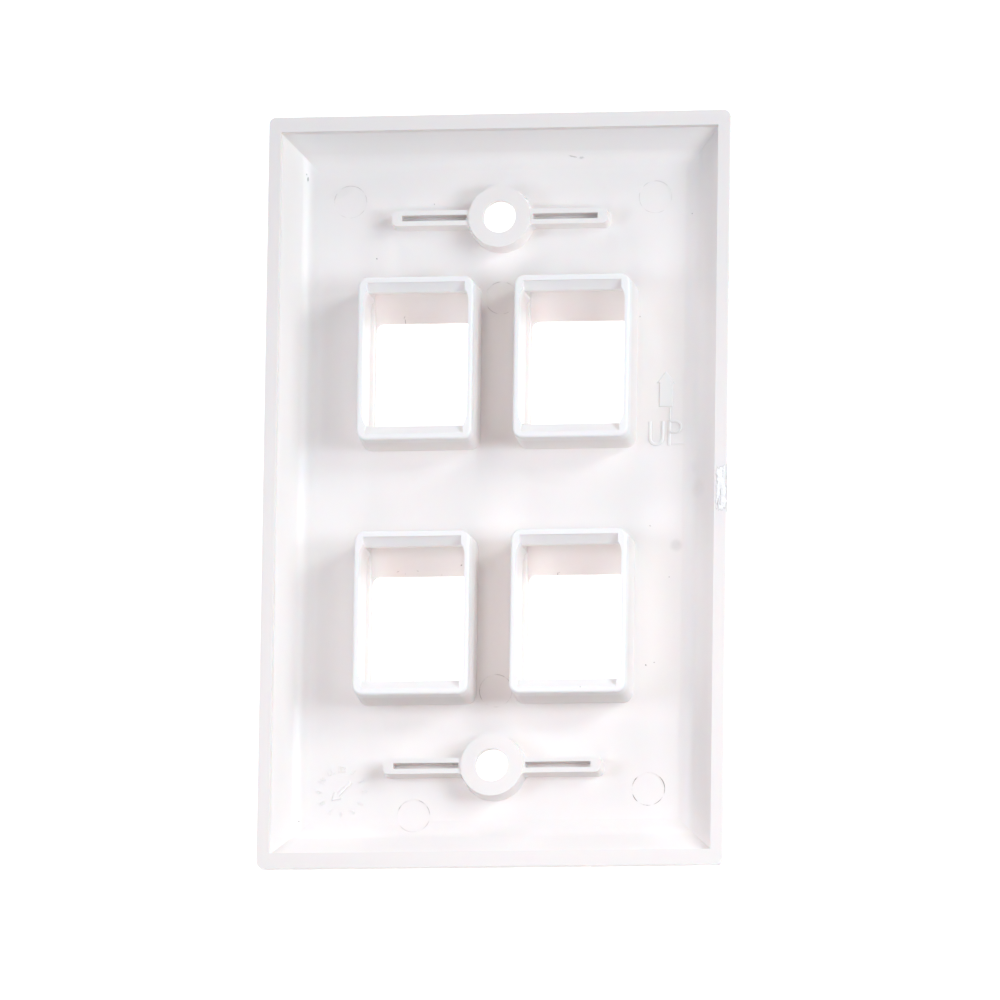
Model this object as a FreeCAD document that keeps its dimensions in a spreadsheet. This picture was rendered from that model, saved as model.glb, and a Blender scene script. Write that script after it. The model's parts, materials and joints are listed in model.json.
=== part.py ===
"""Four-port keystone faceplate: one injection moulding in white ABS.

The plate lies on its flat front face. The origin is the centre of that face, +Z runs
from the front face to the wall side, +Y to the plate's top edge and +X to the right as
the wall side is seen. The moulding is a shallow pan with a level rim towards the wall, a
mitred slope inside it and a bevel parallel to that slope outside.
Four keystone frames stand on its floor in two rows of two, each with a snap catch and a
latch lip at the top and a fixed ledge at the bottom. Two bosses take the mounting
screws, and each has a slotted stiffening wing to either side. Units are millimetres.
"""
import FreeCAD, Part
import os
import re
import Sketcher

DRIVING = {
    # Outer shell
    "plate_width": 69.85,
    "plate_length": 114.3,
    "plate_corner": 1.0,
    "plate_depth": 6.6,
    "edge_height": 1.9,
    "side_lean": 1.0,
    "bevel_run": 3.8,
    "front_round": 0.8,
    "face_thickness": 2.0,
    # Level rim, the low step inside it and the slope down to the floor
    "rim_width": 1.85,
    "end_rim_width": 2.25,
    "step_height": 1.2,
    "step_lean": 5.0,
    "slope_run": 3.8,
    "slope_blend": 4.0,
    # Keystone frames
    "port_pitch_across": 23.55,
    "port_pitch_along": 38.65,
    "frame_width": 17.4,
    "frame_length": 24.85,
    "frame_back": 9.8,
    "frame_corner": 1.5,
    "frame_lean": 1.4,
    "frame_edge": 0.4,
    "weld": 0.4,
    # Cavity inside a frame
    "cavity_width": 14.8,
    "latch_wall": 0.9,
    "ledge_wall": 0.9,
    "mouth_depth": 0.3,
    "catch_reach": 1.2,
    "catch_land": 1.4,
    "lip_back": 2.0,
    "lip_edge": 0.4,
    "ledge_reach": 1.4,
    "ledge_land": 0.65,
    "heel_back": 6.5,
    "relief": 0.55,
    "relief_round": 3.0,
    # Front opening
    "opening_step": 0.15,
    "opening_length": 16.6,
    "opening_corner": 1.1,
    "opening_inset": 5.27,
    # Screw bosses
    "screw_spacing": 83.34,
    "boss_diameter": 9.3,
    "boss_back": 5.3,
    "boss_lean": 5.0,
    "screw_hole": 4.9,
    "bore_land": 1.2,
    "bore_flare": 14.0,
    "sink_diameter": 8.2,
    "sink_half_angle": 41.0,
    # Stiffening wings
    "wing_reach": 16.3,
    "wing_width": 2.35,
    "wing_back": 5.0,
    "wing_lean": 3.0,
    "wing_corner": 0.8,
    "slot_start": 5.0,
    "slot_length": 9.8,
    "slot_width": 0.85,
    "slot_floor": 2.8,
    # Ejector pin marks
    "pin_mark": 4.9,
    "pin_mark_depth": 0.08,
    "pin_headroom": 0.6,
    "corner_mark_across": 23.1,
    "corner_mark_along": 45.0,
    "middle_mark_along": 29.9,
    "low_mark_across": 12.1,
    "low_mark_along": 48.7,
}

ACROSS = (-1, 1)
ALONG = (1, -1)
SIDE_NAMES = {-1: "Left", 1: "Right"}


def fill_sheet(document):
    sheet = document.addObject("Spreadsheet::Sheet", "Sizes")
    for row, (alias, size) in enumerate(DRIVING.items(), start=1):
        sheet.set("A%d" % row, alias)
        sheet.set("B%d" % row, str(size))
        sheet.setAlias("B%d" % row, alias)
    document.recompute()
    return sheet


def sized(expression):
    """Replace each alias in an expression by its full name in the sheet."""
    names = "|".join(sorted(DRIVING, key=len, reverse=True))
    return re.sub(r"\b(%s)\b" % names, r"Sizes.\1", expression)


def new_sketch(body, name, plane, offset="0"):
    sketch = body.newObject("Sketcher::SketchObject", name)
    origin_plane = [p for p in body.Origin.OriginFeatures if p.Role == plane][0]
    sketch.AttachmentSupport = [(origin_plane, "")]
    sketch.MapMode = "FlatFace"
    sketch.setExpression("AttachmentOffset.Base.z", sized(offset))
    return sketch


def pin_point(sketch, geometry, end, across, along):
    """Tie a point of the sketch to two expressions, as its coordinates."""
    for kind, expression in (("DistanceX", across), ("DistanceY", along)):
        size = float(sketch.evalExpression(sized(expression)))
        number = sketch.addConstraint(Sketcher.Constraint(kind, geometry, end, size))
        sketch.setExpression("Constraints[%d]" % number, sized(expression))


def point_of(sketch, across, along):
    x = float(sketch.evalExpression(sized(across)))
    y = float(sketch.evalExpression(sized(along)))
    return FreeCAD.Vector(x, y, 0)


def polygon(sketch, corners):
    """Closed outline of straight edges through corners given as expressions."""
    points = [point_of(sketch, *corner) for corner in corners]
    first = sketch.GeometryCount
    count = len(corners)
    for i in range(count):
        sketch.addGeometry(Part.LineSegment(points[i], points[(i + 1) % count]), False)
    for i in range(count):
        following = first + (i + 1) % count
        sketch.addConstraint(Sketcher.Constraint("Coincident", first + i, 2, following, 1))
    for i, corner in enumerate(corners):
        pin_point(sketch, first + i, 1, *corner)


def rectangle(sketch, left, right, low, high):
    polygon(sketch, [(left, low), (right, low), (right, high), (left, high)])


def circle(sketch, across, along, radius):
    centre = point_of(sketch, across, along)
    size = float(sketch.evalExpression(sized(radius)))
    number = sketch.addGeometry(Part.Circle(centre, FreeCAD.Vector(0, 0, 1), size), False)
    pin_point(sketch, number, 3, across, along)
    radius_constraint = sketch.addConstraint(Sketcher.Constraint("Radius", number, size))
    sketch.setExpression("Constraints[%d]" % radius_constraint, sized(radius))


def extrude(body, kind, name, sketch, length, reverse=False, lean="0"):
    """Pad or Pocket of a sketch, its length and lean tied to the sheet."""
    feature = body.newObject("PartDesign::" + kind, name)
    feature.Profile = sketch
    feature.setExpression("Length", sized(length))
    feature.setExpression("TaperAngle", sized(lean))
    feature.Reversed = reverse
    body.Document.recompute()
    return feature


def round_edges(body, name, radius, wanted):
    """Fillet each edge of the body that the test picks."""
    base = body.Tip
    edges = base.Shape.Edges
    picked = ["Edge%d" % (i + 1) for i, edge in enumerate(edges) if wanted(edge)]
    feature = body.newObject("PartDesign::Fillet", name)
    feature.Base = (base, picked)
    feature.setExpression("Radius", sized(radius))
    body.Document.recompute()
    return feature


def is_upright(edge, low, high):
    """Whether an edge runs between two heights, as the corner of a prism does."""
    box = edge.BoundBox
    return abs(box.ZMin - low) < 0.01 and abs(box.ZMax - high) < 0.01


def is_level(edge, height):
    box = edge.BoundBox
    return abs(box.ZMin - height) < 0.01 and abs(box.ZMax - height) < 0.01


def port_centre(side, row):
    return "%d * port_pitch_across / 2" % side, "%d * port_pitch_along / 2" % row


def shell(body, sheet):
    """Outer shell: a low upright edge at the rim, and a bevel from it to the front face."""
    edge = new_sketch(body, "Edge", "XY_Plane", "plate_depth")
    rectangle(edge, *inset_sides("0", "0"))
    extrude(body, "Pad", "EdgeBand", edge, "edge_height", reverse=True, lean="-side_lean")
    bevel = new_sketch(body, "BevelTop", "XY_Plane", "plate_depth - edge_height")
    edge_inset = "edge_height * tan(side_lean)"
    rectangle(bevel, *inset_sides(edge_inset, edge_inset))
    drop = "plate_depth - edge_height"
    extrude(body, "Pad", "Bevel", bevel, drop, reverse=True, lean="-atan(bevel_run / (%s))" % drop)
    low, middle, back = 0, float(sheet.plate_depth - sheet.edge_height), float(sheet.plate_depth)
    round_edges(body, "ShellCorners", "plate_corner",
                lambda edge: is_upright(edge, low, middle) or is_upright(edge, middle, back))
    round_edges(body, "FrontRound", "front_round", lambda edge: is_level(edge, low))


def inset_sides(across_inset, along_inset):
    """Left, right, low and high sides of the plate's outline, moved inwards."""
    half = "(plate_width / 2 - (%s))" % across_inset
    long_half = "(plate_length / 2 - (%s))" % along_inset
    return "-" + half, half, "-" + long_half, long_half


def pan(body, sheet):
    """The low step inside the rim, the mitred slope and the floor, sunk from the wall side."""
    rim = new_sketch(body, "RimEdge", "XY_Plane", "plate_depth")
    rectangle(rim, *inset_sides("rim_width", "end_rim_width"))
    extrude(body, "Pocket", "RimStep", rim, "step_height", lean="-step_lean")
    slope = new_sketch(body, "SlopeTop", "XY_Plane", "plate_depth - step_height")
    setback = " + step_height * tan(step_lean)"
    rectangle(slope, *inset_sides("rim_width" + setback, "end_rim_width" + setback))
    sunk = "plate_depth - step_height - face_thickness"
    extrude(body, "Pocket", "Pan", slope, sunk, lean="-atan(slope_run / (%s))" % sunk)
    floor = float(sheet.face_thickness)
    round_edges(body, "SlopeBlend", "slope_blend", lambda edge: is_level(edge, floor))


def frames(body, sheet):
    """Four keystone frames, blocks until their cavities are cut."""
    outline = new_sketch(body, "FrameOutlines", "XY_Plane", "frame_back")
    for side in ACROSS:
        for row in ALONG:
            across, along = port_centre(side, row)
            rectangle(outline, *around(across, "frame_width", along, "frame_length"))
    height = "frame_back - face_thickness + weld"
    extrude(body, "Pad", "Frames", outline, height, reverse=True, lean="frame_lean")
    floor, back = float(sheet.face_thickness), float(sheet.frame_back)
    round_edges(body, "FrameCorners", "frame_corner", lambda edge: is_upright(edge, floor, back))
    round_edges(body, "FrameEdges", "frame_edge", lambda edge: is_level(edge, back))


def cavities(body):
    """Keystone cavity: one section along the port, cut through at the port's width.

    From the mouth the latch side has a ramp, the catch's land, the pocket behind it and
    the lip, which thins to an edge at the opening. The other side has the heel that the
    connector's fixed tab sits behind, a shallow pocket and the ramped ledge.
    """
    for side in ACROSS:
        section = new_sketch(body, "Section%s" % SIDE_NAMES[side], "YZ_Plane",
                             "%d * port_pitch_across / 2 - cavity_width / 2" % side)
        for row in ALONG:
            polygon(section, keystone_section("%d * port_pitch_along / 2" % row))
        extrude(body, "Pocket", "Cavity%s" % SIDE_NAMES[side], section, "cavity_width", reverse=True)


def keystone_section(centre):
    latch = "%s + frame_length / 2 - latch_wall" % centre
    ledge = "%s - frame_length / 2 + ledge_wall" % centre
    catch = "%s - catch_reach" % latch
    nose = "%s + ledge_reach" % ledge
    opening_high = "%s + frame_length / 2 - opening_inset" % centre
    opening_low = "%s - opening_length" % opening_high
    above = "frame_back + mouth_depth"
    catch_top = "frame_back - mouth_depth - catch_reach"
    nose_top = "frame_back - ledge_reach"
    return [
        (latch, above),
        (latch, "frame_back - mouth_depth"),
        (catch, catch_top),
        (catch, "%s - catch_land" % catch_top),
        (latch, "%s - catch_land" % catch_top),
        (latch, "lip_back"),
        (opening_high, "lip_edge"),
        (opening_low, "lip_edge"),
        (opening_low, "heel_back"),
        (ledge, "heel_back"),
        (ledge, "%s - ledge_land" % nose_top),
        (nose, "%s - ledge_land" % nose_top),
        (nose, nose_top),
        (ledge, "frame_back"),
        (ledge, above),
    ]


def side_reliefs(body):
    """Shallow relief of the side walls between catch and ledge, run out in arcs."""
    sketch = new_sketch(body, "Reliefs", "XY_Plane", "frame_back")
    for side in ACROSS:
        for row in ALONG:
            relieved_window(sketch, *port_centre(side, row))
    extrude(body, "Pocket", "SideReliefs", sketch, "frame_back - lip_back")


def relieved_window(sketch, across, along):
    """Window as wide as the cavity at its ends, and wider by the relief in between."""
    left, right = sides(across, "cavity_width")
    low = "%s - frame_length / 2 + ledge_wall + ledge_reach" % along
    high = "%s + frame_length / 2 - latch_wall - catch_reach" % along
    run = "sqrt(2 * relief_round * relief - relief * relief)"
    corners = [
        (left, low),
        (right, low),
        ("%s + relief" % right, "%s + %s" % (low, run)),
        ("%s + relief" % right, "%s - %s" % (high, run)),
        (right, high),
        (left, high),
        ("%s - relief" % left, "%s - %s" % (high, run)),
        ("%s - relief" % left, "%s + %s" % (low, run)),
    ]
    points = [point_of(sketch, *corner) for corner in corners]
    count = len(corners)
    first = sketch.GeometryCount
    radius = float(sketch.evalExpression(sized("relief_round")))
    for i, start in enumerate(points):
        end = points[(i + 1) % count]
        if abs(start.x - end.x) < radius and abs(start.y - end.y) < radius:
            sketch.addGeometry(shallow_arc(start, end, radius), False)
            number = sketch.addConstraint(Sketcher.Constraint("Radius", first + i, radius))
            sketch.setExpression("Constraints[%d]" % number, sized("relief_round"))
        else:
            sketch.addGeometry(Part.LineSegment(start, end), False)
    for i in range(count):
        following = first + (i + 1) % count
        sketch.addConstraint(Sketcher.Constraint("Coincident", first + i, 2, following, 1))
    for i, corner in enumerate(corners):
        pin_point(sketch, first + i, 1, *corner)


def shallow_arc(start, end, radius):
    """Arc from one point to another that bulges out of a counterclockwise outline."""
    chord = end - start
    outwards = FreeCAD.Vector(chord.y, -chord.x, 0).normalize()
    rise = radius - (radius ** 2 - chord.Length ** 2 / 4) ** 0.5
    return Part.Arc(start, start + chord / 2 + outwards * rise, end)


def openings(body, sheet):
    """Front openings, with rounded corners, up into the cavities."""
    sketch = new_sketch(body, "Openings", "XY_Plane")
    for side in ACROSS:
        for row in ALONG:
            across, along = port_centre(side, row)
            high = "%s + frame_length / 2 - opening_inset" % along
            left, right = sides(across, "(cavity_width - 2 * opening_step)")
            rectangle(sketch, left, right, "%s - opening_length" % high, high)
    extrude(body, "Pocket", "FrontOpenings", sketch, "lip_edge", reverse=True)
    low, back = 0, float(sheet.lip_edge)
    round_edges(body, "OpeningCorners", "opening_corner", lambda edge: is_upright(edge, low, back))


def sides(centre, size):
    return "%s - %s / 2" % (centre, size), "%s + %s / 2" % (centre, size)


def around(across, width, along, length):
    return sides(across, width) + sides(along, length)


def bosses(body, sheet):
    """Round bosses for the two mounting screws, each with a wing to either side."""
    rounds = new_sketch(body, "BossTops", "XY_Plane", "boss_back")
    for row in ALONG:
        circle(rounds, "0", "%d * screw_spacing / 2" % row, "boss_diameter / 2")
    height = "boss_back - face_thickness + weld"
    extrude(body, "Pad", "Bosses", rounds, height, reverse=True, lean="boss_lean")
    wings = new_sketch(body, "WingTops", "XY_Plane", "wing_back")
    for row in ALONG:
        low, high = sides("%d * screw_spacing / 2" % row, "wing_width")
        rectangle(wings, "-wing_reach", "wing_reach", low, high)
    height = "wing_back - face_thickness + weld"
    extrude(body, "Pad", "Wings", wings, height, reverse=True, lean="wing_lean")
    floor, back = float(sheet.face_thickness), float(sheet.wing_back)
    round_edges(body, "WingEnds", "wing_corner", lambda edge: is_upright(edge, floor, back))


def wing_slots(body):
    """Blind slots that keep the wings as thin-walled as the rest of the moulding."""
    sketch = new_sketch(body, "WingSlots", "XY_Plane", "wing_back")
    for row in ALONG:
        low, high = sides("%d * screw_spacing / 2" % row, "slot_width")
        rectangle(sketch, "slot_start", "slot_start + slot_length", low, high)
        rectangle(sketch, "-slot_start - slot_length", "-slot_start", low, high)
    extrude(body, "Pocket", "Slots", sketch, "wing_back - slot_floor")


def screw_holes(body):
    """Through holes that flare to a countersink for an oval head on the front face."""
    sinks = new_sketch(body, "Sinks", "XY_Plane")
    flares = new_sketch(body, "FlareTops", "XY_Plane", "boss_back - bore_land")
    holes = new_sketch(body, "ScrewHoles", "XY_Plane", "boss_back")
    for row in ALONG:
        along = "%d * screw_spacing / 2" % row
        circle(sinks, "0", along, "sink_diameter / 2")
        circle(flares, "0", along, "screw_hole / 2")
        circle(holes, "0", along, "screw_hole / 2")
    depth = "(sink_diameter - screw_hole) / 2 / tan(sink_half_angle)"
    extrude(body, "Pocket", "Countersinks", sinks, depth, reverse=True, lean="-sink_half_angle")
    extrude(body, "Pocket", "Flares", flares, "boss_back - bore_land", lean="bore_flare")
    extrude(body, "Pocket", "Holes", holes, "bore_land")


def pin_marks(body):
    """Shallow round marks that the ejector pins leave on the floor of the pan."""
    places = [
        ("-corner_mark_across", "corner_mark_along"),
        ("corner_mark_across", "corner_mark_along"),
        ("corner_mark_across", "-corner_mark_along"),
        ("0", "middle_mark_along"),
        ("0", "-middle_mark_along"),
        ("-low_mark_across", "-low_mark_along"),
    ]
    sketch = new_sketch(body, "PinMarks", "XY_Plane", "face_thickness + pin_headroom")
    for across, along in places:
        circle(sketch, across, along, "pin_mark / 2")
    extrude(body, "Pocket", "Marks", sketch, "pin_headroom + pin_mark_depth")


def main():
    document = FreeCAD.newDocument("KeystoneFaceplate")
    sheet = fill_sheet(document)
    body = document.addObject("PartDesign::Body", "Faceplate")
    body.Label = "faceplate"
    shell(body, sheet)
    pan(body, sheet)
    frames(body, sheet)
    bosses(body, sheet)
    cavities(body)
    side_reliefs(body)
    openings(body, sheet)
    pin_marks(body)
    wing_slots(body)
    screw_holes(body)
    document.recompute()
    for item in document.Objects:
        if "Invalid" in item.State or "Error" in item.State:
            raise RuntimeError("%s failed: %s" % (item.Name, item.State))
    shape = body.Shape
    if shape.isNull() or not shape.isValid():
        raise RuntimeError("the faceplate's shape is null or not valid")
    os.makedirs("parts", exist_ok=True)
    print(body.Label, "solids", len(shape.Solids), "volume %.1f" % shape.Volume)
    shape.exportStep("parts/%s.step" % body.Label)


main()
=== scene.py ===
"""Looks of the keystone faceplate: glossy white ABS, its moulded marks, runner stub and dirt.

The plate lies on its flat front face and is seen from its wall side. Lengths are
written in millimetres and turned into metres by MM where Blender takes them.
"""
import bmesh
import bpy
import functools
import json
import math
from mathutils import Euler, Matrix, Vector, noise

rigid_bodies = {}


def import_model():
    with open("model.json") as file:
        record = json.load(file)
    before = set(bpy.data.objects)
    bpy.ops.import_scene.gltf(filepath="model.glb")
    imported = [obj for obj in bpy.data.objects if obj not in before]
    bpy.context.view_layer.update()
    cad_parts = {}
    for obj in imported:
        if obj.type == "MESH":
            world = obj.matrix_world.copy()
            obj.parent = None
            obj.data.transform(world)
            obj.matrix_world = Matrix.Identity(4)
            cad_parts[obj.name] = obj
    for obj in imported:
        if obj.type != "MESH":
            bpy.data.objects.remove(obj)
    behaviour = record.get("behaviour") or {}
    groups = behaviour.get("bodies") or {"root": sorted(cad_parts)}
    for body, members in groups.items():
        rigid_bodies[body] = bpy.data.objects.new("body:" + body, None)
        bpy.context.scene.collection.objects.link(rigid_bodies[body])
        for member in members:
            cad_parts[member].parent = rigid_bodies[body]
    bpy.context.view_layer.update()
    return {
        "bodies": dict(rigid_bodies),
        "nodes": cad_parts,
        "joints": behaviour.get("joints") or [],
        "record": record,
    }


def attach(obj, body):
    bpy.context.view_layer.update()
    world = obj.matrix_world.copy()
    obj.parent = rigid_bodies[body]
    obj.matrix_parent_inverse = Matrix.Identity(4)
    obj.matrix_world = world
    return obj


MM = 0.001
PLATE = "faceplate"
BODY = "root"

# Camera: a long lens, a little to the right of the plate's middle and below it
CAMERA_AIM = (-0.06, -0.56, 0.0)
CAMERA_TILT = (11.262, 8.197, 0.815)
CAMERA_DISTANCE = 2037.7
CAMERA_LENS = 490.8
CAMERA_REACH = 20000.0
SENSOR_WIDTH = 36.0

# Soft studio light from lamps alone, strongest on the lower half. The lamps' tints even
# out to white together. Each lamp: name, place, aim, size, spread in degrees, watts, colour
WHITE = (1, 1, 1, 1)
WORLD_LEVEL = 0.0
LAMPS = (
    ("key_high", (391, 182, 417), (0, 0, 0), 140, 180, 0.525, (0.83, 1.00, 1.06)),
    ("key_right", (509, 0, 318), (0, 0, 0), 140, 180, 0.445, (0.83, 1.00, 1.14)),
    ("key_low", (461, 215, 318), (0, 0, 0), 140, 180, 0.605, (1.02, 1.00, 0.97)),
    ("graze_top", (-98, 555, 205), (0, 0, 0), 140, 180, 0.565, (1.06, 1.00, 1.04)),
    ("fill_left", (-386, 0, 460), (0, 0, 0), 260, 180, 0.415, (0.82, 1.00, 1.36)),
    ("fill_corner", (-406, 341, 282), (0, 0, 0), 260, 180, 0.485, (1.09, 1.00, 0.99)),
    ("side_right", (220, -20, 220), (0, 0, 0), 110, 180, 0.277, (0.97, 1.00, 1.06)),
    ("side_left", (-220, -30, 220), (0, 0, 0), 110, 180, 0.152, (0.92, 1.00, 0.96)),
    ("near_low", (0, -130, 160), (0, 0, 0), 90, 180, 0.055, (1.10, 1.00, 1.00)),
    ("near_pool", (0, -40, 180), (0, -40, 0), 90, 100, 0.0165, (1.12, 1.00, 0.98)),
)

# Floor: a matt sheet that looks white, and that is lit from behind where it lights the plate
FLOOR_SIZE = 6000.0
FLOOR_COLOUR = (0.86, 0.86, 0.86, 1.0)
FLOOR_GLOW = 0.75
FLOOR_BACKLIGHT = 0.5
BACKLIGHT_COLOUR = (1.0, 0.97, 0.95, 1)

# White ABS, with painted light on the frames' thin edges: a lighter colour there. Noise scales are per
# metre
ABS_COLOUR = (0.898, 0.864, 0.845, 1.0)
ABS_SHADE = (0.878, 0.840, 0.820, 1.0)
PAINTED_TOP_LIGHT = (0.935, 0.922, 0.915, 1.0)
PAINTED_LIGHT_FROM = 8.2
PAINTED_LIGHT_FADE = 1.2
ABS_ROUGHNESS = (0.30, 0.42)
ABS_IOR = 1.5
GRAIN_DEPTH = 0.04
# Dark colour of dirt, also used for the painted shade in the pin marks' rims and in the stub's cracks
GRIME_AND_SHADE = (0.20, 0.165, 0.15, 1.0)

# Light that passes into thin walls and comes out warmer
SEEP_WEIGHT = 0.30
SEEP_RADIUS = (1.0, 0.45, 0.30)
SEEP_DEPTH = 1.0

# ABS torn by breaking: whiter and rougher
TORN_COLOURS = ((0.92, 0.91, 0.90, 1), (0.97, 0.965, 0.96, 1))
TORN_ROUGHNESS = 0.55
TORN_GRAIN_DEPTH = 0.08

# Dirt on the plastic, ragged at its edge. Each spot: middle, half sizes (x, y, z), turn in
# degrees, strength
SPOT_EDGE = (1.0, 1.6)
SPOT_RAGGEDNESS = 0.9
SPOTS = (
    ((-29.55, 48.5, 2.9), (0.11, 0.50, 1.0), 0, 0.75),
    ((-29.75, 49.2, 2.9), (0.10, 0.16, 1.0), 20, 0.45),
    ((10.6, 51.3, 2.7), (0.75, 0.10, 1.0), -12, 0.40),
    ((11.9, 51.1, 2.7), (0.45, 0.20, 1.0), 5, 0.30),
    ((-10.36, 44.44, 2.0), (0.09, 0.09, 0.6), 0, 0.60),
    ((-18.96, 36.2, 2.0), (0.10, 0.14, 0.6), 30, 0.65),
    ((28.7, 42.3, 2.2), (0.10, 0.09, 0.8), 0, 0.55),
    ((22.9, -5.2, 2.0), (0.16, 0.09, 0.6), -20, 0.40),
    ((25.85, -13.0, 2.0), (0.10, 0.10, 0.6), 0, 0.50),
    ((22.5, -26.3, 2.0), (0.10, 0.13, 0.6), 40, 0.80),
    ((23.75, -25.9, 2.0), (0.14, 0.07, 0.6), 0, 0.55),
    ((-29.3, -49.4, 2.6), (0.12, 0.12, 1.0), 0, 0.55),
    ((21.0, 26.7, 2.0), (0.10, 0.10, 0.6), 0, 0.45),
    ((13.8, -30.9, 9.8), (0.10, 0.08, 0.6), 0, 0.45),
    ((-14.7, 26.75, 1.0), (0.06, 0.50, 1.2), 4, 0.60),
    ((-14.82, 27.4, 1.0), (0.07, 0.30, 1.2), -25, 0.35),
    ((8.87, -12.1, 1.0), (0.07, 0.42, 1.2), -5, 0.65),
    ((9.1, -11.8, 1.0), (0.22, 0.05, 1.2), 25, 0.50),
    ((-15.2, -11.4, 1.2), (0.30, 0.06, 1.0), 20, 0.60),
    ((-14.1, -11.75, 1.2), (0.12, 0.08, 1.0), 0, 0.45),
    ((-12.2, -11.35, 1.2), (0.25, 0.05, 1.0), -15, 0.50),
    ((-8.6, -11.95, 1.2), (0.16, 0.07, 1.0), 10, 0.55),
    ((-5.6, -10.6, 1.2), (0.16, 0.10, 1.0), 35, 0.60),
    ((3.1, -11.4, 1.2), (0.10, 0.35, 1.0), 0, 0.65),
    ((3.3, 27.0, 1.2), (0.10, 0.30, 1.0), 0, 0.40),
)

# Soft grey smudges, given in the same way
SMUDGE_EDGE = (0.3, 1.1)
SMUDGES = (
    ((26.84, -8.2, 2.1), (1.15, 1.15, 1.0), 0, 0.16),
    ((30.0, 0.2, 3.2), (1.7, 1.8, 1.6), 0, 0.06),
    ((29.4, 3.6, 3.0), (0.6, 1.3, 1.6), 0, 0.04),
    ((8.3, -12.4, 1.0), (1.2, 0.5, 1.2), 0, 0.10),
    ((-24.5, 46.5, 2.0), (2.4, 1.0, 0.8), 20, 0.04),
    ((-11.5, 33.5, 2.0), (3.5, 1.2, 0.8), 10, 0.03),
    ((6.5, 2.5, 2.0), (5.0, 1.4, 0.8), -15, 0.025),
)

# Painted shade: dark rings on the rims of the ejector pin marks, broken by gaps: middle, strength
PIN_RADIUS = 2.45
RING_EDGE = (0.010, 0.032)
RING_GAPS = (0.62, 0.42)
PIN_RINGS = (
    ((-23.1, 45.0, 2.0), 0.32),
    ((23.1, 45.0, 2.0), 0.22),
    ((23.1, -45.0, 2.0), 0.95),
    ((0.0, 29.9, 2.0), 0.35),
    ((0.0, -29.9, 2.0), 0.40),
    ((-12.1, -48.7, 2.0), 0.45),
)

# Height over the plate from which its surface is looked for
LOOK_FROM = 50

# Raised marks on the floor of the pan: their height and how far they are rooted in it
RELIEF = 0.14
ROOT = 0.08
SHOULDER = RELIEF * 0.6
PLATEAU_PROFILE = ((-0.03, -ROOT), (0.0, SHOULDER), (0.07, RELIEF))
RIB_PROFILE = ((1.15, -ROOT), (0.95, SHOULDER), (0.55, RELIEF),
               (-0.55, RELIEF), (-0.95, SHOULDER), (-1.15, -ROOT))

# Arrow and the word UP, with two thin lines of flash beside the P
UP_ARROW = ((25.05, 18.2), (23.65, 16.5), (24.05, 16.5), (24.05, 12.9),
            (26.05, 12.9), (26.05, 16.5), (26.45, 16.5))
LETTER_STROKE = 0.46
BOWL_STROKE = 0.36
LETTER_HIGH = 10.65
LETTER_LOW = 7.15
U_LEFT, U_RIGHT = 22.7, 24.6
P_STEM, P_RIGHT, P_MIDDLE = 25.62, 27.35, 8.95
STEM_HIGH, STEM_LOW = 10.8, 6.95
FLASH_LINES = (
    (((25.67, 10.85), (25.72, 12.8)), 0.16),
    (((25.92, 7.25), (27.95, 7.2)), 0.12),
)

# Date dial: numbers around an arrow, whose outline is given along and across its direction
DIAL = (-23.0, -44.9)
DIAL_RADIUS = 3.35
DIAL_POINTING = math.radians(225)
DIAL_ARROW = ((2.0, 0.0), (0.75, 0.75), (0.75, 0.25), (-2.0, 0.25),
              (-2.0, -0.25), (0.75, -0.25), (0.75, -0.75))
DIGIT_SIZE = 1.2
DIGIT_BOLDNESS = 0.03
DIGIT_THICKNESS = RELIEF + ROOT
DIGIT_MIDDLE = 0.009

# Stub of the runner, broken off on the right rim. Each crack: x, low y, high y, depth
RIM_HEIGHT = 6.6
STUB_MIDDLE = -0.5
STUB_HALF = 3.6
STUB_LEFT, STUB_RIGHT = 33.2, 34.95
STUB_HEIGHT = 0.22
STUB_SINK = 0.03
STUB_LOWEST = -0.06
STUB_SKIRT = 0.12
STUB_CELLS = (22, 84)
CRACK_HALF = 0.13
CRACKS = (
    (33.95, -3.3, -0.6, 0.40),
    (33.60, -4.0, -2.0, 0.30),
    (34.72, -0.4, 2.9, 0.30),
    (34.30, 0.9, 2.4, 0.15),
)


def place(point):
    return Vector(point) * MM


def show(thing):
    bpy.context.scene.collection.objects.link(thing)


def node_tree(owner):
    owner.use_nodes = True
    tree = owner.node_tree
    tree.nodes.clear()
    return tree


def feed(tree, socket, content):
    """Set an input from another node's output or from a plain value."""
    if isinstance(content, bpy.types.NodeSocket):
        tree.links.new(content, socket)
    else:
        socket.default_value = content


def add_node(tree, kind, **inputs):
    """Add a node and set its inputs by name, with _ for a space."""
    node = tree.nodes.new(kind)
    for name, content in inputs.items():
        feed(tree, node.inputs[name.replace("_", " ")], content)
    return node


def maths(tree, operation, *terms):
    node = tree.nodes.new("ShaderNodeMath")
    node.operation = operation
    for socket, content in zip(node.inputs, terms):
        feed(tree, socket, content)
    return node.outputs[0]


def seen_directly(tree):
    """1 for camera, glossy and transmission rays, and 0 for the rays that light things."""
    path = add_node(tree, "ShaderNodeLightPath")
    rays = path.outputs["Is Camera Ray"]
    for name in ("Is Glossy Ray", "Is Transmission Ray"):
        rays = maths(tree, "MAXIMUM", rays, path.outputs[name])
    return rays


def either_shader(tree, lighting, seen):
    """One shader for the rays that light things, and another for those that see directly."""
    mix = add_node(tree, "ShaderNodeMixShader", Fac=seen_directly(tree))
    tree.links.new(lighting, mix.inputs[1])
    tree.links.new(seen, mix.inputs[2])
    return mix.outputs[0]


def with_glow(tree, shader, colour, strength):
    glow = add_node(tree, "ShaderNodeEmission", Color=colour, Strength=strength)
    both = tree.nodes.new("ShaderNodeAddShader")
    tree.links.new(shader, both.inputs[0])
    tree.links.new(glow.outputs[0], both.inputs[1])
    return both.outputs[0]


def set_output(tree, kind, shader):
    add_node(tree, kind, Surface=shader)


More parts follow.
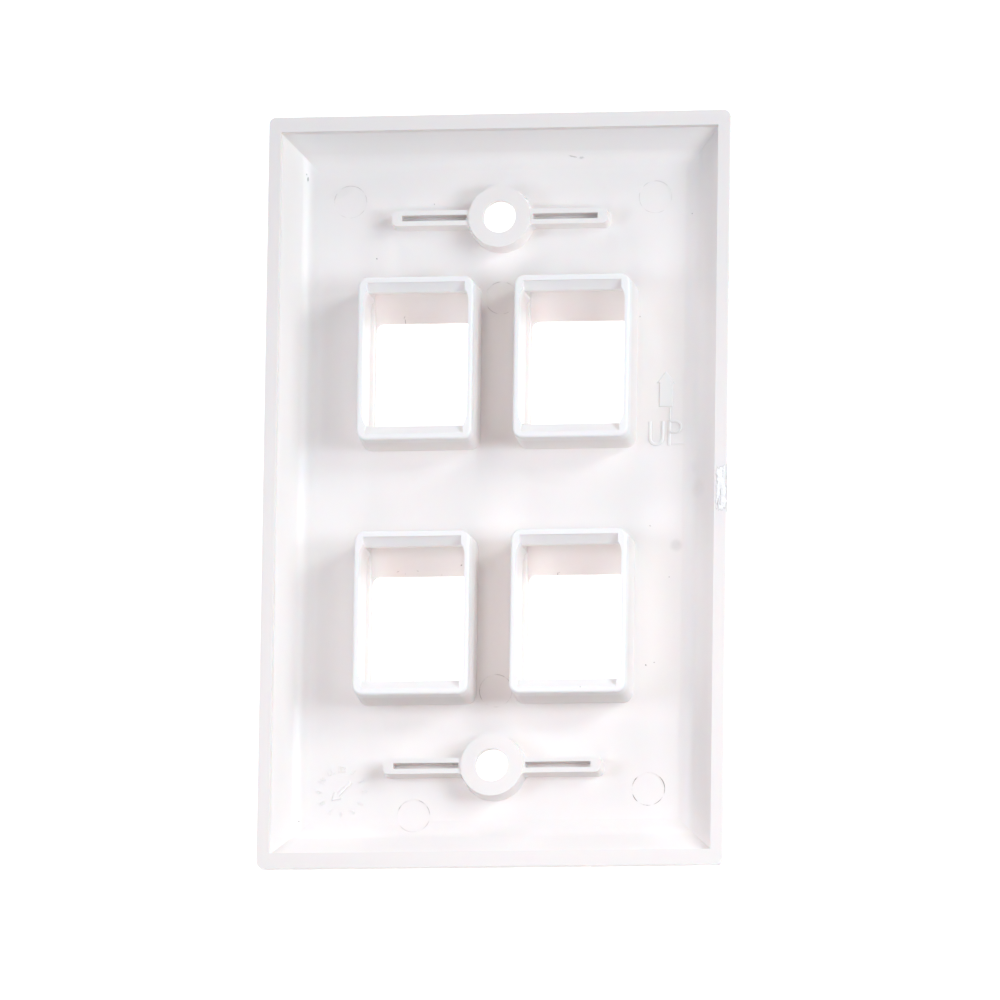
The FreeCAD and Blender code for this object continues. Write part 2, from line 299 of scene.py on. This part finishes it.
def make_world():
    world = bpy.data.worlds.new("studio")
    tree = node_tree(world)
    light = add_node(tree, "ShaderNodeBackground", Color=WHITE, Strength=WORLD_LEVEL)
    white = add_node(tree, "ShaderNodeBackground", Color=WHITE, Strength=1.0)
    set_output(tree, "ShaderNodeOutputWorld", either_shader(tree, light.outputs[0], white.outputs[0]))
    bpy.context.scene.world = world


def make_lamps():
    for name, spot, aim, size, spread, watts, colour in LAMPS:
        lamp = bpy.data.lights.new(name, "AREA")
        lamp.shape = "SQUARE"
        lamp.size = size * MM
        lamp.energy = watts
        lamp.color = colour
        lamp.spread = math.radians(spread)
        holder = bpy.data.objects.new(name, lamp)
        holder.location = place(spot)
        holder.rotation_euler = (place(spot) - place(aim)).to_track_quat("Z", "Y").to_euler()
        show(holder)


def make_camera():
    camera = bpy.data.cameras.new("camera")
    camera.lens = CAMERA_LENS
    camera.sensor_width = SENSOR_WIDTH
    camera.clip_end = CAMERA_REACH * MM
    holder = bpy.data.objects.new("camera", camera)
    turn = Euler([math.radians(angle) for angle in CAMERA_TILT])
    holder.rotation_euler = turn
    holder.location = place(CAMERA_AIM) + turn.to_matrix() @ place((0, 0, CAMERA_DISTANCE))
    show(holder)
    bpy.context.scene.camera = holder


def floor_material():
    """Matt white that glows a little to the camera, so that shadows on it stay faint."""
    material = bpy.data.materials.new("floor_white")
    tree = node_tree(material)
    matt = add_node(tree, "ShaderNodeBsdfDiffuse", Color=FLOOR_COLOUR).outputs[0]
    seen = with_glow(tree, matt, WHITE, FLOOR_GLOW)
    lighting = with_glow(tree, matt, BACKLIGHT_COLOUR, FLOOR_BACKLIGHT)
    set_output(tree, "ShaderNodeOutputMaterial", either_shader(tree, lighting, seen))
    return material


def make_floor():
    mesh = bpy.data.meshes.new("floor")
    half = FLOOR_SIZE / 2 * MM
    corners = [(-half, -half, 0), (half, -half, 0), (half, half, 0), (-half, half, 0)]
    mesh.from_pydata(corners, [], [(0, 1, 2, 3)])
    mesh.materials.append(floor_material())
    floor = bpy.data.objects.new("floor", mesh)
    show(floor)


def noise_field(tree, where, scale, detail):
    return add_node(tree, "ShaderNodeTexNoise", Vector=where, Scale=scale, Detail=detail).outputs["Fac"]


def distance(tree, where, middle, half_sizes, turn=0.0):
    """Distance from a point, 1 at the surface of a turned ellipsoid about it."""
    frame = add_node(tree, "ShaderNodeMapping", Vector=where)
    frame.vector_type = "TEXTURE"
    frame.inputs["Location"].default_value = place(middle)
    frame.inputs["Rotation"].default_value = (0, 0, math.radians(turn))
    frame.inputs["Scale"].default_value = place(half_sizes)
    length = tree.nodes.new("ShaderNodeVectorMath")
    length.operation = "LENGTH"
    tree.links.new(frame.outputs[0], length.inputs[0])
    return length.outputs["Value"]


def fade(tree, value, edge, strength):
    """Strength where the value is at the edge's start, falling to 0 at its end."""
    node = add_node(tree, "ShaderNodeMapRange", Value=value, From_Min=edge[0], From_Max=edge[1],
                    To_Min=strength, To_Max=0.0)
    node.interpolation_type = "SMOOTHSTEP"
    return node.outputs[0]


def strongest(tree, masks):
    """The greatest of several masks at each point."""
    return functools.reduce(lambda first, second: maths(tree, "MAXIMUM", first, second), masks)


def dirt_mask(tree, where):
    """How dark each point is painted: dirt specks and soft smudges, and broken rings of painted shade.
    """
    ragged = noise_field(tree, where, 5200.0, 3.0)
    patchy = noise_field(tree, where, 620.0, 4.0)
    specks = []
    for middle, half_sizes, turn, strength in SPOTS:
        near = distance(tree, where, middle, half_sizes, turn)
        near = maths(tree, "ADD", near, maths(tree, "MULTIPLY", ragged, SPOT_RAGGEDNESS))
        specks.append(fade(tree, near, SPOT_EDGE, strength))
    rings = []
    # Painted shade: broken dark rings along the pin marks' rims
    for middle, strength in PIN_RINGS:
        radius = distance(tree, where, middle, (PIN_RADIUS, PIN_RADIUS, PIN_RADIUS))
        off = maths(tree, "ABSOLUTE", maths(tree, "SUBTRACT", radius, 1.0))
        rings.append(fade(tree, off, RING_EDGE, strength))
    rings = maths(tree, "MULTIPLY", strongest(tree, rings), fade(tree, patchy, RING_GAPS, 1.0))
    smudges = []
    for middle, half_sizes, turn, strength in SMUDGES:
        near = distance(tree, where, middle, half_sizes, turn)
        smudges.append(fade(tree, near, SMUDGE_EDGE, strength))
    smudges = maths(tree, "MULTIPLY", strongest(tree, smudges), maths(tree, "ADD", patchy, 0.5))
    return strongest(tree, (strongest(tree, specks), rings, smudges))


def mixed(tree, factor, first, second):
    node = add_node(tree, "ShaderNodeMix", Factor=factor)
    node.data_type = "RGBA"
    # Inputs 6 and 7 and output 2 are the ones for colours
    feed(tree, node.inputs[6], first)
    feed(tree, node.inputs[7], second)
    return node.outputs[2]


def abs_material():
    """Glossy ABS, faintly uneven in colour and gloss, with dirt on it, painted shade in the rims of its
    pin marks and painted light on the frames' tops.
    """
    material = bpy.data.materials.new("white_abs")
    tree = node_tree(material)
    where = add_node(tree, "ShaderNodeTexCoord").outputs["Object"]
    clouds = noise_field(tree, where, 70.0, 3.0)
    plastic = mixed(tree, clouds, ABS_SHADE, ABS_COLOUR)
    height = add_node(tree, "ShaderNodeSeparateXYZ", Vector=where).outputs["Z"]
    # Painted light: a lighter colour on the frames' tops, fading in just below them
    top_light_mask = fade(tree, height, (PAINTED_LIGHT_FROM * MM, (PAINTED_LIGHT_FROM - PAINTED_LIGHT_FADE) * MM), 1.0)
    plastic = mixed(tree, top_light_mask, plastic, PAINTED_TOP_LIGHT)
    dirt_and_shade = dirt_mask(tree, where)
    roughness = add_node(tree, "ShaderNodeMapRange", Value=maths(tree, "ADD", clouds, dirt_and_shade),
                         To_Min=ABS_ROUGHNESS[0], To_Max=ABS_ROUGHNESS[1])
    grain = noise_field(tree, where, 2600.0, 2.0)
    bump = add_node(tree, "ShaderNodeBump", Height=grain, Strength=0.05, Distance=GRAIN_DEPTH * MM)
    surface = add_node(tree, "ShaderNodeBsdfPrincipled", Normal=bump.outputs["Normal"], IOR=ABS_IOR,
                       Base_Color=mixed(tree, dirt_and_shade, plastic, GRIME_AND_SHADE), Roughness=roughness.outputs[0],
                       Subsurface_Weight=SEEP_WEIGHT, Subsurface_Radius=SEEP_RADIUS,
                       Subsurface_Scale=SEEP_DEPTH * MM)
    set_output(tree, "ShaderNodeOutputMaterial", surface.outputs[0])
    return material


def torn_material():
    """ABS whitened where the runner was torn off, with painted shade down in its cracks and at its low
    edges.
    """
    material = bpy.data.materials.new("torn_abs")
    tree = node_tree(material)
    where = add_node(tree, "ShaderNodeTexCoord").outputs["Object"]
    crumbs = noise_field(tree, where, 3000.0, 4.0)
    height = add_node(tree, "ShaderNodeSeparateXYZ", Vector=where).outputs["Z"]
    # Painted shade: dark where the torn surface lies at or below the rim, down in the cracks
    crack_shade = fade(tree, height, ((RIM_HEIGHT - 0.02) * MM, (RIM_HEIGHT + 0.05) * MM), 0.85)
    white = mixed(tree, crumbs, *TORN_COLOURS)
    bump = add_node(tree, "ShaderNodeBump", Height=crumbs, Strength=0.3, Distance=TORN_GRAIN_DEPTH * MM)
    surface = add_node(tree, "ShaderNodeBsdfPrincipled", Normal=bump.outputs["Normal"], IOR=ABS_IOR,
                       Base_Color=mixed(tree, crack_shade, white, GRIME_AND_SHADE), Roughness=TORN_ROUGHNESS)
    set_output(tree, "ShaderNodeOutputMaterial", surface.outputs[0])
    return material


def height_at(plate, across, along):
    """Height of the plate's wall side at a point, found by looking down on it."""
    found = plate.ray_cast(place((across, along, LOOK_FROM)), Vector((0, 0, -1)))
    return found[1].z / MM


def moved_in(outline, inset):
    """A closed outline of points moved inwards by an inset, kept mitred."""
    count = len(outline)
    area = sum(outline[i - 1][0] * outline[i][1] - outline[i][0] * outline[i - 1][1]
               for i in range(count))
    sign = 1 if area > 0 else -1
    points = []
    for i in range(count):
        before, here, after = (Vector(outline[j % count]) for j in (i - 1, i, i + 1))
        first = (here - before).normalized()
        second = (after - here).normalized()
        mitre = Vector((-first.y - second.y, first.x + second.x)) * sign
        points.append(here + mitre * inset / (1 + first.dot(second)))
    return points


def join_rings(mesh, rings):
    """Skin between closed rings of vertices that lie one after another."""
    for low, high in zip(rings, rings[1:]):
        for i in range(len(low)):
            j = (i + 1) % len(low)
            mesh.faces.new((low[i], low[j], high[j], high[i]))


def cap(mesh, first, last):
    mesh.faces.new(last)
    mesh.faces.new(list(reversed(first)))


def add_vertex(mesh, plate, across, along, lift):
    """Vertex at a height over the plate's own surface."""
    return mesh.verts.new(place((across, along, height_at(plate, across, along) + lift)))


def add_plateau(mesh, plate, outline):
    """Raised flat shape with a narrow slope around it, rooted in the floor."""
    rings = [[add_vertex(mesh, plate, x, y, lift) for x, y in moved_in(outline, inset)]
             for inset, lift in PLATEAU_PROFILE]
    join_rings(mesh, rings)
    cap(mesh, rings[0], rings[-1])


def add_rib(mesh, plate, path, width=LETTER_STROKE):
    """Raised stroke with sloping sides along a path of points."""
    sections = []
    last = len(path) - 1
    for i, point in enumerate(path):
        here = Vector(point)
        ahead = (Vector(path[min(i + 1, last)]) - here).normalized()
        back = (here - Vector(path[max(i - 1, 0)])).normalized()
        along = (ahead + back).normalized()
        side = Vector((-along.y, along.x)) * width / 2
        sections.append([add_vertex(mesh, plate, *(here + side * share), lift)
                         for share, lift in RIB_PROFILE])
    join_rings(mesh, sections)
    cap(mesh, sections[0], sections[-1])


def arc_path(centre, radius, start, end, steps=10):
    """Points along an arc between two angles in degrees."""
    points = []
    for i in range(steps + 1):
        angle = math.radians(start + (end - start) * i / steps)
        points.append((centre[0] + radius * math.cos(angle), centre[1] + radius * math.sin(angle)))
    return points


def finish_piece(mesh, name, material, smooth=False):
    """Turn the mesh into a piece that rides on the plate's body."""
    bmesh.ops.recalc_face_normals(mesh, faces=mesh.faces)
    data = bpy.data.meshes.new(name)
    mesh.to_mesh(data)
    mesh.free()
    data.materials.append(material)
    for face in data.polygons:
        face.use_smooth = smooth
    piece = bpy.data.objects.new(name, data)
    show(piece)
    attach(piece, BODY)


def make_up_mark(plate, material):
    """Arrow to the top edge, with the word UP below it."""
    mesh = bmesh.new()
    add_plateau(mesh, plate, UP_ARROW)
    finish_piece(mesh, "up_arrow", material)

    mesh = bmesh.new()
    bend = (U_RIGHT - U_LEFT) / 2
    u_bottom = ((U_LEFT + U_RIGHT) / 2, LETTER_LOW + bend)
    add_rib(mesh, plate, [(U_LEFT, LETTER_HIGH)] + arc_path(u_bottom, bend, 180, 360)
            + [(U_RIGHT, LETTER_HIGH)])
    add_rib(mesh, plate, [(P_STEM, STEM_LOW), (P_STEM, STEM_HIGH)])
    bowl = (LETTER_HIGH - P_MIDDLE) / 2
    p_bend = (P_RIGHT - bowl, P_MIDDLE + bowl)
    add_rib(mesh, plate, [(P_STEM, LETTER_HIGH)] + arc_path(p_bend, bowl, 90, -90)
            + [(P_STEM, P_MIDDLE)], BOWL_STROKE)
    for path, stroke in FLASH_LINES:
        add_rib(mesh, plate, path, stroke)
    finish_piece(mesh, "up_letters", material)


def add_digits(mesh, plate, text, angle):
    """Plain number on the dial, with its foot to the dial's middle."""
    curve = bpy.data.curves.new("digits", "FONT")
    curve.body = text
    curve.size = DIGIT_SIZE * MM
    curve.align_x = "CENTER"
    curve.align_y = "CENTER"
    curve.extrude = DIGIT_THICKNESS / 2 * MM
    curve.offset = DIGIT_BOLDNESS * MM
    curve.resolution_u = 3
    holder = bpy.data.objects.new("digits", curve)
    show(holder)
    bpy.context.view_layer.update()
    data = bpy.data.meshes.new_from_object(holder)
    x = DIAL[0] + DIAL_RADIUS * math.cos(angle)
    y = DIAL[1] + DIAL_RADIUS * math.sin(angle)
    turn = Matrix.Rotation(angle - math.pi / 2, 4, "Z")
    data.transform(Matrix.Translation(place((x, y, height_at(plate, x, y) + DIGIT_MIDDLE))) @ turn)
    mesh.from_mesh(data)
    bpy.data.objects.remove(holder)
    bpy.data.meshes.remove(data)
    bpy.data.curves.remove(curve)


def make_dial(plate, material):
    """Mould's date dial: twelve plain numbers and an arrow in the middle."""
    mesh = bmesh.new()
    for number in range(1, 13):
        add_digits(mesh, plate, str(number), math.radians(90 - 30 * number))
    ahead = Vector((math.cos(DIAL_POINTING), math.sin(DIAL_POINTING)))
    side = Vector((-ahead.y, ahead.x))
    outline = [tuple(Vector(DIAL) + ahead * reach + side * width) for reach, width in DIAL_ARROW]
    add_plateau(mesh, plate, outline)
    finish_piece(mesh, "dial", material)


def limited(value):
    return min(1.0, max(0.0, value))


def crack_depth(x, y):
    """How deep the stub is cracked at a point."""
    depth = 0.0
    for middle, low, high, full in CRACKS:
        inside = min(y - low, high - y)
        offset = abs(x - middle - 0.10 * noise.noise(Vector((y * 1.6, middle, 0.0))))
        if inside > 0 and offset < CRACK_HALF:
            depth += full * (1 - offset / CRACK_HALF) * min(1.0, inside * 3)
    return depth


def stub_lift(x, y, u, v):
    """Height of the torn surface over the rim. u and v run across and along the stub."""
    ragged = noise.noise(Vector((x * 1.3, y * 1.3, 3.0)))
    crumbs = noise.noise(Vector((x * 4.5, y * 4.5, 7.0)))
    tips = noise.noise(Vector((x * 2.3, math.copysign(9.0, v), 1.0)))
    flanks = noise.noise(Vector((math.copysign(9.0, u - 0.5), y * 1.4, 5.0)))
    ends = limited((0.93 - abs(v) + 0.22 * tips) * 9)
    edges = limited((min(u, 1.0 - u) - 0.06 + 0.16 * flanks) * 9)
    lift = STUB_HEIGHT * (0.80 + 0.55 * ragged + 0.45 * crumbs) * ends * edges - STUB_SINK
    return max(lift - crack_depth(x, y), STUB_LOWEST)


def make_stub():
    """Ragged stub left on the rim where the runner was broken off."""
    mesh = bmesh.new()
    across, along = STUB_CELLS
    rows = []
    for j in range(along + 1):
        v = 2 * j / along - 1
        y = STUB_MIDDLE + STUB_HALF * v
        row = []
        for i in range(across + 1):
            u = i / across
            x = STUB_LEFT + (STUB_RIGHT - STUB_LEFT) * u
            row.append(mesh.verts.new(place((x, y, RIM_HEIGHT + stub_lift(x, y, u, v)))))
        rows.append(row)
    for low, high in zip(rows, rows[1:]):
        for i in range(across):
            mesh.faces.new((low[i], low[i + 1], high[i + 1], high[i]))
    border = rows[0] + [row[-1] for row in rows[1:]]
    border += rows[-1][-2::-1] + [row[0] for row in rows[-2:0:-1]]
    under = [mesh.verts.new(vert.co - place((0, 0, STUB_SKIRT))) for vert in border]
    join_rings(mesh, [under, border])
    mesh.faces.new(list(reversed(under)))
    finish_piece(mesh, "runner_stub", torn_material(), smooth=True)


def main():
    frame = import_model()
    bpy.context.scene.view_settings.view_transform = "Standard"
    plate = frame["nodes"][PLATE]
    plastic = abs_material()
    for slot in plate.material_slots:
        slot.material = plastic
    bpy.context.view_layer.update()
    make_up_mark(plate, plastic)
    make_dial(plate, plastic)
    make_stub()
    make_world()
    make_lamps()
    make_camera()
    make_floor()


main()
